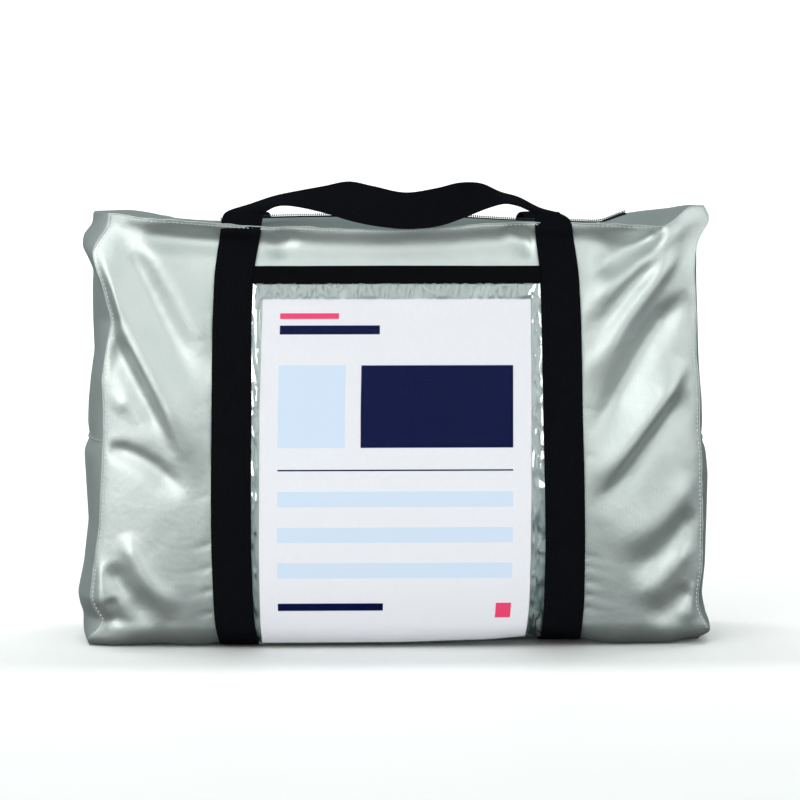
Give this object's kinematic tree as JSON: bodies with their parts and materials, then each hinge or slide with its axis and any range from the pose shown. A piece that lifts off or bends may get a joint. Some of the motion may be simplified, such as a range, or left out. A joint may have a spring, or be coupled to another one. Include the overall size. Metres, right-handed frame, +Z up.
{
  "type": "packed boat cover storage bag",
  "caption": "Stuffed rectangular storage bag of silver-coated cloth for a boat cover, with webbing carry handles, a clear front pocket and an insert card.",
  "frame": {"origin": "on the floor under the middle of the bag's base", "axes": "+X along the bag, its front with the pocket faces -Y, +Z up"},
  "size_m": [0.5029, 0.1652, 0.3643],
  "materials": {
    "silver_cloth": "satin silver coating over fine weave",
    "webbing": "matt ribbed weave",
    "binding": "matt grosgrain",
    "clear_film": "clear, glossy, soft creases",
    "card": "coated, printed with plain blocks",
    "zip_tape": "woven tape with a coil"
  },
  "bodies": {
    "root": {"bag_body": "silver_cloth", "strap_left": "webbing", "strap_right": "webbing", "handle_front": "webbing", "handle_back": "webbing", "pocket_binding": "binding", "pocket_window": "clear_film", "insert_card": "card", "zip": "zip_tape"}
  },
  "joints": []
}
